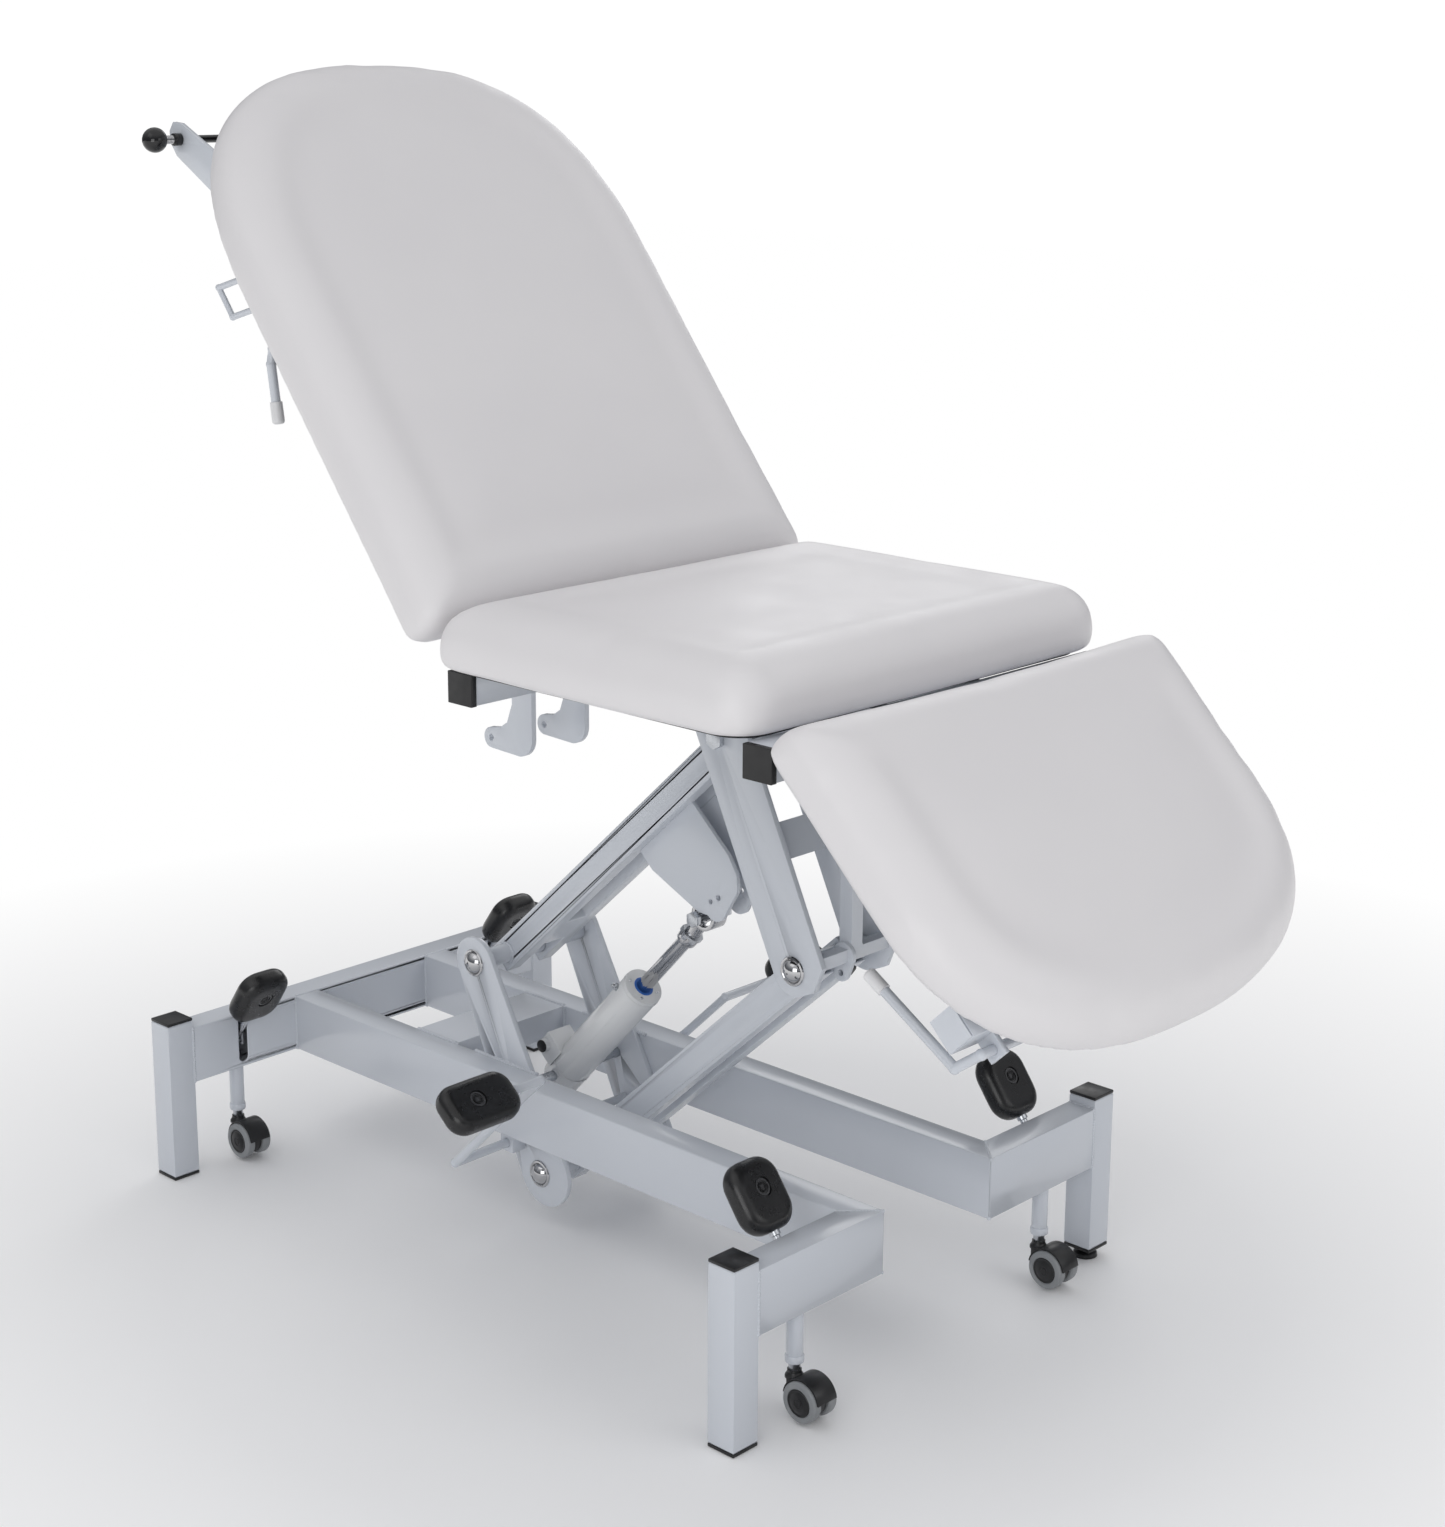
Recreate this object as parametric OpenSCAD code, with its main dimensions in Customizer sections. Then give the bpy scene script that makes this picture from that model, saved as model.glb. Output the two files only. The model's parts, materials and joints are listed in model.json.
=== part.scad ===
// Hydraulic examination couch: three-section padded top on a parallel-arm lift and a steel base.
// X runs across the couch, Y along it (foot end at -Y), Z up from the floor. Millimetres.

/* [Base frame] */
// overall width over the corner posts
base_w = 710; // [600:5:800]
// foot face of the base
foot_y = -366; // [-450:1:-300]
// head face of the base
head_y = 732; // [600:1:800]
// section width of posts, rails and beams
tube_w = 40; // [30:1:50]
// section height of rails and beams
rail_h = 80; // [60:1:100]
// top of rails and beams
rail_top = 214; // [180:1:260]
// clear gap between the two long rails
rail_gap = 200; // [160:1:260]
// top of the corner posts with their caps
post_top = 229; // [200:1:260]
// wall thickness of the steel tubes
wall = 3; // [2:0.5:4]

/* [Lift arms] */
// distance between the pivots of one arm
arm_len = 565; // [500:1:620]
// arm angle above the floor as posed
arm_deg = 42.4; // [5:0.1:55]
// depth of the arm tubes
arm_h = 40; // [30:1:50]
// width of each arm tube
arm_w = 25; // [20:1:40]
// half width over the pair of arm tubes
arm_half = 42; // [35:1:60]
// inner face of the link plates
link_in = 62; // [50:1:80]
// pivot axle radius
axle_r = 8; // [6:0.5:12]
// running clearance of the pivots
run = 0.06; // [0.02:0.01:0.1]

/* [Upholstery] */
// cushion width
pad_w = 660; // [560:5:760]
// seat underside height
seat_z = 812; // [700:1:900]
// seat section thickness
seat_t = 78; // [50:1:110]
// backrest length
back_len = 800; // [600:5:900]
// backrest angle above the seat plane as posed
back_deg = 52.2; // [0:0.1:80]
// backrest thickness
back_t = 78; // [50:1:110]
// leg section length
leg_len = 445; // [350:1:600]
// leg section angle below the seat plane as posed
leg_deg = 45.3; // [0:0.1:80]
// leg section thickness
leg_t = 75; // [50:1:110]

/* [Castors] */
// distance of the castors from the middle plane
castor_x = 232; // [180:1:290]
// wheel radius
wheel_r = 25; // [20:1:40]
// swivel trail of the wheels
trail = 24; // [15:1:35]
// floor clearance of the raised wheels
lift_gap = 3; // [1:0.5:10]

/* [Hidden] */
$fn = 64;
e = 0.01;
half_w = base_w / 2;
rail_in = rail_gap / 2;
rail_out = rail_in + tube_w;
rail_bot = rail_top - rail_h;
post_in = half_w - tube_w;
cap_t = 4;
foot_in = foot_y + tube_w;
head_in = head_y - tube_w;
foot_mid = foot_y + tube_w / 2;
head_mid = head_y - tube_w / 2;
plate_t = 8;
// parallelogram pivots, as [y, z]
up0 = [351, 338.5];
lean = [-125, -264];
lo0 = up0 + lean;
up1 = up0 + arm_len * [-cos(arm_deg), sin(arm_deg)];
lo1 = up1 + lean;
lean_deg = atan2(-lean[1], -lean[0]);
sleeve_r = 13;
// hydraulic cylinder pivots
cyl0 = [277, 178];
cyl1 = [13, 462];
cyl_deg = atan2(cyl1[1] - cyl0[1], cyl1[0] - cyl0[0]);
cyl_len = norm(cyl1 - cyl0);
barrel_r = 27;
barrel_len = 214;
// pump pedal shaft
ped = [262, 116];
ped_r = 6;
// castor lever hinge
lever_z = 168;
lever_deg = 54;
lever_len = 101;
// seat frame
tube_z = 770;
rear_y = 107;
front_y = -370;
seat_y0 = -350;
seat_y1 = 135;
// backrest frame origin: lower edge of its underside, local y up the backrest, z to its face
back_o = [201.6, 837.2];
back_pin = [-41.6, -20.1];
// leg frame origin: upper edge of its underside, local -y down the leg section
leg_o = [-365.7, 813.8];
leg_pin = [-10.8, -20.1];
// cross tubes of the backrest, along its length
back_cross = [262, 612];
back_hinge = back_o + rot2(back_pin, back_deg);
leg_hinge = leg_o + rot2(leg_pin, leg_deg);

steel = [0.83, 0.84, 0.87];
chrome = [0.72, 0.73, 0.75];
black = [0.08, 0.08, 0.09];
vinyl = [0.87, 0.86, 0.88];
wood = [0.72, 0.60, 0.44];

// ---------- helpers ----------
// profile drawn in the Y-Z plane, pushed along X from x0
module slab(x0, t) {
  translate([x0, 0, 0]) rotate([90, 0, 90]) linear_extrude(t) children();
}
// round bar along X
module xbar(r, x0, x1, p) {
  translate([x0, p[0], p[1]]) rotate([0, 90, 0]) cylinder(r = r, h = x1 - x0);
}
// both sides of the middle plane
module pair() {
  children();
  mirror([1, 0, 0]) children();
}
// vector turned by an angle
function rot2(v, a) = [v[0] * cos(a) - v[1] * sin(a), v[0] * sin(a) + v[1] * cos(a)];
// flat link between two round ends, a to b
module strap(a, ra, b, rb) {
  d = b - a;
  f = atan2(d[1], d[0]);
  k = acos((ra - rb) / norm(d));
  translate(a) circle(ra);
  translate(b) circle(rb);
  ia = ra - 0.05;
  ib = rb - 0.05;
  polygon([a + ia * [cos(f + k), sin(f + k)], b + ib * [cos(f + k), sin(f + k)],
           b + ib * [cos(f - k), sin(f - k)], a + ia * [cos(f - k), sin(f - k)]]);
}
// round bar bent through a list of points
module bent(pts, r) {
  for (i = [0 : len(pts) - 2]) {
    d = pts[i + 1] - pts[i];
    translate(pts[i])
      rotate([0, acos(d[2] / norm(d)), atan2(d[1], d[0])])
        cylinder(r = r - 0.2 * (i % 2), h = norm(d));
  }
  if (len(pts) > 2)
    for (i = [1 : len(pts) - 2]) translate(pts[i]) rotate([20, 30, 40]) sphere(r + 0.5);
}
// rectangle with round corners
module round_rect(w, h, r) {
  square([w - 2 * r, h], center = true);
  square([w, h - 2 * r], center = true);
  for (i = [-1, 1], j = [-1, 1])
    translate([i * (w / 2 - r), j * (h / 2 - r)]) circle(r);
}
// frame of an arm: local y up the arm, local z to its underside
module along_arm(p) {
  translate([0, p[0], p[1]]) rotate([180 - arm_deg, 0, 0]) children();
}
module on_back() {
  translate([0, back_o[0], back_o[1]]) rotate([back_deg, 0, 0]) children();
}
module on_leg() {
  translate([0, leg_o[0], leg_o[1]]) rotate([leg_deg, 0, 0]) children();
}
// dome-headed cap outside a plate face at x, on the axis p
module dome(x, p, r = 15, h = 9) {
  big = (r * r + h * h) / (2 * h);
  translate([x, p[0], p[1]]) intersection() {
    translate([h - big, 0, 0]) sphere(big);
    translate([0, -2 * r, -2 * r]) cube([2 * r, 4 * r, 4 * r]);
  }
}
// rubber foot pad with a round recess on both faces, centred, long side on y
module foot_pad(l, w, t) {
  difference() {
    union() {
      translate([0, 0, -t / 2 + 4]) linear_extrude(t - 8) round_rect(w, l, w * 0.36);
      translate([0, 0, -t / 2]) linear_extrude(t) round_rect(w - 10, l - 10, w * 0.36 - 5);
    }
    for (s = [0, 1]) mirror([0, 0, s]) translate([0, l * 0.08, t / 2 - 4]) cylinder(r = 12, h = 5);
  }
}

// ---------- base ----------
// hollow beam outline at rail height; polygon of the outside, polygon of the hollow
module beam(outer, inner) {
  difference() {
    translate([0, 0, rail_bot]) linear_extrude(rail_h) polygon(outer);
    translate([0, 0, rail_bot + wall]) linear_extrude(rail_h - 2 * wall) polygon(inner);
  }
}
// slot for a castor lever and hole for its guide tube; face = y of the slotted side
module lever_cut(y_mid, y_face) {
  translate([castor_x, y_mid, rail_bot - 1]) cylinder(r = 10, h = wall + 2);
  translate([castor_x - 7, y_face - 4, 149]) cube([14, 8, 53]);
  for (z = [149, 202]) translate([castor_x, y_face + 4, z]) rotate([90, 0, 0]) cylinder(r = 7, h = 8);
}
module head_beam() color(steel) {
  difference() {
    beam([[-post_in, head_in], [post_in, head_in], [post_in, head_y], [-post_in, head_y]],
         [[-half_w, head_in + wall], [half_w, head_in + wall], [half_w, head_y - wall], [-half_w, head_y - wall]]);
    pair() lever_cut(head_mid, head_in);
  }
}
module rail() {
  beam([[rail_out, head_in], [rail_in, head_in], [rail_in, foot_y], [rail_out, foot_in]],
       [[rail_out - wall, head_in + 1], [rail_in + wall, head_in + 1],
        [rail_in + wall, foot_y + wall], [rail_out - wall, foot_in - wall]]);
}
module right_rail() color(steel) rail();
module left_rail() color(steel) mirror([1, 0, 0]) rail();
module foot_beam() {
  difference() {
    beam([[post_in, foot_y], [rail_in, foot_y], [rail_out, foot_in], [post_in, foot_in]],
         [[post_in + 1, foot_y + wall], [rail_in + wall, foot_y + wall],
          [rail_out - wall, foot_in - wall], [post_in + 1, foot_in - wall]]);
    lever_cut(foot_mid, foot_in);
  }
}
module foot_beams() color(steel) pair() foot_beam();
module mid_crossbar() color(steel) {
  translate([-rail_in, 390, rail_top - tube_w]) difference() {
    cube([rail_gap, rail_h, tube_w]);
    translate([-1, wall, wall]) cube([rail_gap + 2, rail_h - 2 * wall, tube_w - 2 * wall]);
  }
}
// far foot post stands on its levelling foot
level_h = 14;
module post(x, y, z0) {
  translate([x, y, z0]) difference() {
    cube([tube_w, tube_w, post_top - cap_t - z0]);
    translate([wall, wall, -1]) cube([tube_w - 2 * wall, tube_w - 2 * wall, post_top]);
  }
}
module corner_posts() color(steel) {
  post(-half_w, foot_y, cap_t);
  post(post_in, foot_y, level_h + cap_t);
  post(-half_w, head_in, cap_t);
  post(post_in, head_in, cap_t);
}
module post_caps() color(black) {
  for (x = [-half_w, post_in], y = [foot_y, head_in]) {
    translate([x, y, post_top - cap_t]) cube([tube_w, tube_w, cap_t]);
    z0 = (x > 0 && y < 0) ? level_h : 0;
    translate([x, y, z0]) difference() {
      cube([tube_w, tube_w, cap_t]);
      if (z0 > 0) translate([tube_w / 2, tube_w / 2, -1]) cylinder(r = 5.05, h = cap_t + 2);
    }
  }
}
module levelling_foot() color(black) {
  translate([half_w - tube_w / 2, foot_mid, 0]) {
    cylinder(r1 = 16, r2 = 15, h = 5);
    translate([0, 0, 5]) cylinder(r1 = 15, r2 = 8, h = 5);
    translate([0, 0, 10]) cylinder(r = 5, h = 32);
  }
}
module bracket_plate(x0) {
  slab(x0, plate_t) difference() {
    strap(up0, 35, lo0 + [-8, 2], 45);
    translate(up0) circle(axle_r);
    translate(lo0) circle(axle_r);
    translate(cyl0) circle(7);
    translate(ped) circle(ped_r + run);
  }
}
module bracket_plates() color(steel) pair() bracket_plate(rail_in - plate_t);
module base_axles() color(chrome) {
  xbar(axle_r, -rail_in, rail_in, up0);
  xbar(axle_r, -rail_in, rail_in, lo0);
  xbar(7, -rail_in, rail_in, cyl0);
}
module base_dome_caps() color(chrome) {
  pair() dome(rail_in, up0);
  pair() dome(rail_in, lo0);
}
module castor_guides() color(steel) {
  for (s = [-1, 1], y = [foot_mid, head_mid])
    translate([s * castor_x, y, 66]) difference() {
      cylinder(r = 10, h = rail_bot + wall - 66);
      translate([0, 0, -1]) cylinder(r = 7 + run, h = 100);
    }
}
module lever_brackets() color(steel) {
  for (s = [-1, 1], y = [foot_mid, head_mid])
    translate([s * castor_x, y, 0]) {
      for (k = [-9.5, 6.5]) translate([k, -7, lever_z - 7]) cube([3, 14, rail_top - wall - lever_z + 7]);
      xbar(3, -9.5, 9.5, [0, lever_z]);
    }
}
module pedal_bearings() color(steel) {
  pair() slab(rail_in + 4, 22) difference() {
    translate([ped[0] - 12, ped[1] - 12]) square([24, rail_bot - ped[1] + 12]);
    translate(ped) circle(ped_r + run);
  }
}

// ---------- lift arms ----------
// over = length past the upper pivot
module arm_tubes(over) {
  pair() difference() {
    translate([arm_half - arm_w, -18, -arm_h / 2]) cube([arm_w, arm_len + 18 + over, arm_h]);
    translate([arm_half - arm_w + 2.5, -20, -arm_h / 2 + 2.5]) cube([arm_w - 5, arm_len + 40, arm_h - 5]);
    for (y = [0, arm_len]) translate([0, y, 0]) rotate([0, 90, 0]) cylinder(r = sleeve_r, h = 100);
  }
}
module arm_sleeves() {
  difference() {
    union() {
      xbar(sleeve_r, -(rail_in - plate_t) + 0.5, rail_in - plate_t - 0.5, [0, 0]);
      xbar(sleeve_r, -link_in + 0.5, link_in - 0.5, [arm_len, 0]);
    }
    for (y = [0, arm_len]) xbar(axle_r + run, -120, 120, [y, 0]);
  }
}
gap_w = 2 * (arm_half - arm_w);
module upper_arm_tubes() color(steel) along_arm(up0) {
  arm_tubes(18);
  difference() {
    translate([-gap_w / 2, 48, -16]) cube([gap_w, 62, 36]);
    translate([-gap_w / 2 - 1, 51, -13]) cube([gap_w + 2, 56, 30]);
  }
}
module upper_arm_sleeves() color(steel) along_arm(up0) arm_sleeves();
module gusset_plates() color(steel) {
  for (x0 = [-24, 18]) slab(x0, 6) difference() {
    union() {
      polygon([[21, 612.7], [112, 529.6], [91, 509], [10, 472], [-32, 470], [-57, 512], [-56, 534], [-42, 556]]);
      translate([-20, 484]) circle(18);
      translate([-38, 520]) circle(19);
    }
    translate(cyl1) circle(6);
    translate([-25, 498]) circle(4);
    translate([-12, 490]) circle(3.5);
  }
}
module gusset_bolt() color(chrome) {
  xbar(6, -24, 24, cyl1);
  for (x = [-32, 24]) translate([x, cyl1[0], cyl1[1]]) rotate([0, 90, 0]) cylinder(r = 10.5, h = 8, $fn = 6);
}
module lower_arm_tubes() color(steel) along_arm(lo0) {
  arm_tubes(8);
  translate([-gap_w / 2, 170, 4]) cube([gap_w, 170, 6]);
}
module lower_arm_sleeves() color(steel) along_arm(lo0) arm_sleeves();

// ---------- seat carriage ----------
// link plates lean with the parallelogram; local y runs from the lower pivot to the upper one
module along_link() {
  translate([0, lo1[0], lo1[1]]) rotate([lean_deg, 0, 0]) children();
}
link_up = norm(lean);
module link_profile() {
  difference() {
    union() {
      polygon([[-4, -32], [link_up + 105, -32], [link_up + 75, 48], [-8, 48], [-32, 22], [-32, 0]]);
      circle(32);
    }
    circle(axle_r);
    translate([link_up, 0]) circle(axle_r);
  }
}
module link_plates() color(steel) {
  pair() intersection() {
    along_link() slab(link_in, plate_t) link_profile();
    translate([0, -500, 0]) cube([200, 1000, tube_z + 38]);
  }
}
brace_y = -224;
module link_crossmembers() color(steel) {
  // cross plate between the link plates
  along_link() translate([-link_in, 128, 0]) cube([2 * link_in, 46, 30]);
  // lower crossbar, clevis tab and upright brace
  translate([-link_in, brace_y - 8, 463]) cube([2 * link_in, 16, 16]);
  difference() {
    slab(-16, 6) strap([brace_y, 470], 16, [brace_y + 4, 448], 12);
    xbar(4, -20, -9, [brace_y + 4, 447]);
  }
  translate([-10, brace_y - 8, 479]) cube([20, 20, tube_z - 479]);
  translate([-link_in, brace_y - 14, tube_z]) cube([2 * link_in, 28, 38]);
}
module link_axles() color(chrome) {
  xbar(axle_r, -link_in - plate_t, link_in + plate_t, up1);
  xbar(axle_r, -link_in - plate_t, link_in + plate_t, lo1);
  pair() translate([link_in + plate_t, up1[0], up1[1]]) rotate([0, 90, 0]) cylinder(r = 13, h = 8, $fn = 6);
}
module link_dome_caps() color(chrome) {
  pair() dome(link_in + plate_t, lo1, 15, 9);
}
hinge_x = 150;
module seat_frame() color(steel) {
  // rear cross tube with the ears of the backrest hinge
  difference() {
    union() {
      translate([-300, rear_y, tube_z]) cube([600, 40, 38]);
      pair() for (x0 = [hinge_x - 12, hinge_x + 5]) slab(x0, 7)
        strap([rear_y + 44, tube_z + 22], 14, back_hinge, 13);
    }
    for (x = [-300 - 1, 180]) translate([x, rear_y + wall, tube_z + wall]) cube([121, 34, 32]);
    translate([-130, rear_y + wall, tube_z + wall]) cube([260, 34, 32]);
    pair() xbar(5, hinge_x - 40, hinge_x + 40, back_hinge);
  }
  // front cross tube, pocketed for the leg hinge tongues
  difference() {
    translate([-300, front_y, tube_z]) cube([600, 40, 38]);
    for (x = [-300 - 1, 180]) translate([x, front_y + wall, tube_z + wall]) cube([121, 34, 32]);
    translate([-120, front_y + wall, tube_z + wall]) cube([240, 34, 32]);
    pair() {
      translate([hinge_x - 5, front_y - 1, tube_z - 1]) cube([10, 24, 52]);
      xbar(4, hinge_x - 22, hinge_x + 22, leg_hinge);
    }
  }
  // side rails beside the link plates
  pair() translate([link_in + plate_t, front_y + 40, tube_z]) difference() {
    cube([28, rear_y - front_y - 40, 38]);
    translate([wall, -1, wall]) cube([28 - 2 * wall, 600, 38 - 2 * wall]);
  }
}
module seat_tube_caps() color(black) {
  pair() for (y = [rear_y, front_y]) translate([300, y - 1, tube_z - 1]) cube([8, 42, 38.9]);
}
module rear_hook_plates() color(steel) {
  pair() slab(arm_half + 1.5, plate_t) difference() {
    union() {
      polygon([[rear_y + 40, tube_z], [rear_y + 40, tube_z + 36], [300, tube_z + 36], [322, tube_z + 14],
               [322, 690], [332, 664], [345, 655], [363, 652], [363, 624], [310, 622], [284, 648], [284, tube_z - 20],
               [264, tube_z]]);
      translate([310, 648]) circle(26);
      translate([363, 638]) circle(14);
    }
    translate([363, 638]) circle(4.5);
  }
}
module hinge_pins() color(chrome) {
  pair() {
    xbar(5, hinge_x - 12, hinge_x + 12, back_hinge);
    xbar(4, hinge_x - 22, hinge_x + 22, leg_hinge);
  }
}
module seat_outline(inset) {
  w = pad_w / 2 - inset;
  y0 = seat_y0 + inset;
  y1 = seat_y1 - inset;
  r = 42;
  translate([-w, y0 + r]) square([2 * w, y1 - y0 - r]);
  translate([-w + r, y0]) square([2 * w - 2 * r, r + e]);
  for (s = [-1, 1]) translate([s * (w - r), y0 + r]) circle(r);
}
module seat_board() color(wood) translate([0, 0, tube_z + 38]) linear_extrude(8) seat_outline(22);
module seat_cushion() color(vinyl) translate([0, 0, tube_z + 46]) linear_extrude(seat_z + seat_t - tube_z - 46)
  seat_outline(0);

// ---------- hydraulic cylinder ----------
module along_cylinder() {
  translate([0, cyl0[0], cyl0[1]]) rotate([cyl_deg, 0, 0]) children();
}
module cylinder_barrel() color(steel) along_cylinder() difference() {
  union() {
    translate([0, -18, 0]) rotate([-90, 0, 0]) cylinder(r = barrel_r, h = barrel_len + 18);
  }
  translate([0, 30, 0]) rotate([-90, 0, 0]) cylinder(r = 19, h = barrel_len - 42);
  translate([0, 100, 0]) rotate([-90, 0, 0]) cylinder(r = 10 + run, h = barrel_len);
  xbar(7 + run, -50, 50, [0, 0]);
}
module pump_block() color(steel) along_cylinder() {
  // block on the head side of the barrel, with its round valve button
  difference() {
    translate([-26, 2, -48]) cube([40, 34, 34]);
    translate([0, -20, 0]) rotate([-90, 0, 0]) cylinder(r = barrel_r + 0.02, h = 80);
  }
  xbar(9, -33, -25, [19, -38]);
}
module piston_rod() color(chrome) along_cylinder() difference() {
  union() {
    translate([0, 150, 0]) rotate([-90, 0, 0]) cylinder(r = 10, h = cyl_len - 150 - 16);
    translate([0, cyl_len - 58, 0]) rotate([-90, 0, 0]) cylinder(r = 14, h = 14);
    xbar(19.5, -12, 12, [cyl_len, 0]);
  }
  xbar(14.5, -20, 20, [cyl_len, 0]);
}

// ---------- pump pedal ----------
module pump_pedal() color(steel) {
  bent([[-215, ped[0], ped[1]], [-215, 97, 277], [-262, 97, 277]], ped_r - 0.1);
  bent([[165, ped[0], ped[1]], [165, 222, 196], [165, 140, 274], [262, 140, 274]], ped_r - 0.1);
  xbar(ped_r, -215, 165, ped);
  for (x = [-215, 165]) translate([x, ped[0], ped[1]]) rotate([20, 30, 40]) sphere(ped_r + 0.5);
}
module pedal_pads() color(black) {
  translate([-317, 97, 277]) rotate([40, 0, 0]) rotate([0, 0, 90]) foot_pad(110, 66, 32);
  translate([317, 140, 274]) rotate([40, 0, 0]) rotate([0, 0, 90]) foot_pad(110, 66, 32);
}

// ---------- retractable castors ----------
// s = side, y = beam centre, dir = +1 lever leans to +Y, -1 to -Y
module castor_lever(s, y, dir) color(black) {
  translate([s * castor_x, y, lever_z]) mirror([0, dir > 0 ? 0 : 1, 0]) {
    difference() {
      union() {
        xbar(8, -5, 5, [0, 0]);
        rotate([lever_deg, 0, 0]) translate([0, 5, 0]) rotate([-90, 0, 0]) cylinder(r = 5, h = lever_len - 45);
        rotate([lever_deg, 0, 0]) translate([0, lever_len, 0]) foot_pad(88, 76, 32);
      }
      xbar(3 + run, -20, 20, [0, 0]);
    }
  }
}
module castor_lever_head_left() castor_lever(-1, head_mid, -1);
module castor_lever_head_right() castor_lever(1, head_mid, -1);
module castor_lever_foot_left() castor_lever(-1, foot_mid, 1);
module castor_lever_foot_right() castor_lever(1, foot_mid, 1);

neck_z = 56;
module castor_stem(s, y) color(chrome) translate([s * castor_x, y, neck_z]) difference() {
  cylinder(r = 7, h = 96);
  translate([0, 0, -1]) cylinder(r = 5 + run, h = 28);
}
module castor_stem_head_left() castor_stem(-1, head_mid);
module castor_stem_head_right() castor_stem(1, head_mid);
module castor_stem_foot_left() castor_stem(-1, foot_mid);
module castor_stem_foot_right() castor_stem(1, foot_mid);

wheel_z = wheel_r + lift_gap;
module castor_hood(s, y) color(black) translate([s * castor_x, y, 0]) {
  // swivel peg and neck
  cylinder_at(0, 0, neck_z - 2, 5, 26);
  cylinder_at(0, 0, 38, 5.5, 12);
  cylinder_at(0, 0, 46.5, 8.5, neck_z - 46.7);
  // central web and half-round hood over the wheels
  difference() {
    union() {
      slab(-5, 10) translate([-trail, wheel_z]) circle(21);
      slab(-5, 10) translate([-trail, wheel_z - 4]) square([trail + 8, 20]);
      slab(-16, 32) difference() {
        translate([-trail, wheel_z]) circle(27.5);
        translate([-trail, wheel_z]) circle(25.6);
        translate([-trail - 40, wheel_z - 40]) square([80, 44]);
      }
    }
    xbar(3 + run, -30, 30, [-trail, wheel_z]);
  }
}
module cylinder_at(x, y, z, r, h) {
  translate([x, y, z]) cylinder(r = r, h = h);
}
module castor_hood_head_left() castor_hood(-1, head_mid);
module castor_hood_head_right() castor_hood(1, head_mid);
module castor_hood_foot_left() castor_hood(-1, foot_mid);
module castor_hood_foot_right() castor_hood(1, foot_mid);

module castor_wheel(s, y) color([0.5, 0.51, 0.53]) translate([s * castor_x, y - trail, wheel_z]) {
  xbar(3, -20, 20, [0, 0]);
  pair() difference() {
    union() {
      xbar(wheel_r, 6, 19, [0, 0]);
      xbar(wheel_r - 3, 19, 21.5, [0, 0]);
    }
    xbar(3, 0, 20, [0, 0]);
  }
}
module castor_wheel_head_left() castor_wheel(-1, head_mid);
module castor_wheel_head_right() castor_wheel(1, head_mid);
module castor_wheel_foot_left() castor_wheel(-1, foot_mid);
module castor_wheel_foot_right() castor_wheel(1, foot_mid);

// ---------- backrest ----------
// half outline of a pad with a full round end; w = half width, l = length, b = depth of the round end
function pad_end(w, l, b, n, steps) =
  [for (i = [0 : steps]) let (t = 90 * i / steps)
    [w * pow(cos(t), 2 / n), l - b + b * pow(sin(t), 2 / n)]];
module pad_outline(w, y0, l, b, n, inset) {
  k = (w - inset) / w;
  top = pad_end(w * k, l - inset, b, n, 22);
  pts = concat([[w * k, y0 + inset]], top);
  left = [for (i = [len(pts) - 2 : -1 : 0]) [-pts[i][0], pts[i][1]]];
  polygon(concat(pts, left));
}
module backrest_frame() color(steel) on_back() {
  // two long rails and two cross tubes, all hollow
  difference() {
    union() {
      pair() translate([hinge_x - 15, 15, -25]) cube([30, 640, 25]);
      for (y = back_cross) translate([-256, y, -25]) cube([512, 30, 25]);
    }
    pair() translate([hinge_x - 13, 17, -23]) cube([26, 636, 21]);
    for (y = back_cross, x = [[-253, 87], [-133, 266], [166, 87]])
      translate([x[0], y + 2, -23]) cube([x[1], 26, 21]);
  }
  // hinge tongues
  pair() slab(hinge_x - 4.5, 9) difference() {
    strap(back_pin, 12, [25, -12.5], 12);
    translate(back_pin) circle(5 + run);
  }
  // roll holder plates
  pair() slab(255, 6) difference() {
    polygon([[590, 0], [700, 0], [716, -8], [774, -36], [785, -48], [781, -62], [768, -70], [748, -70], [655, -33], [612, -25],
             [590, -25]]);
    translate([759, -50]) circle(5 + run);
  }
  // side loops
  pair() bent([[300, 519, -4], [300, 542, -61], [300, 498, -61], [300, 475, -4]], 4);
  pair() for (y = [475, 519]) translate([264, y - 10, -8]) cube([42, 20, 8]);
  // ears of the release lever
  for (x0 = [-250, -190]) slab(x0, 6) difference() {
    translate([405, -34]) square([38, 34]);
    translate([424, -21]) circle(6 + run);
  }
}
module backrest_board() color(wood) on_back() linear_extrude(8) pad_outline(336, 6, back_len, 330, 2.5, 20);
module backrest_cushion() color(vinyl) on_back() {
  translate([0, 0, 8]) linear_extrude(back_t - 8) pad_outline(336, 4, back_len, 330, 2.5, 0);
}
module roll_rod() color(black) on_back() {
  xbar(5, -285, 285, [759, -50]);
  pair() translate([300, 759, -50]) sphere(16);
  pair() xbar(8, 261.5, 272, [759, -50]);
}
module backrest_lever() color(steel) on_back() {
  bent([[-172, 424, -21], [-298, 424, -21], [-300, 410, -34], [-300, 347, -69]], 6);
}

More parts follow.
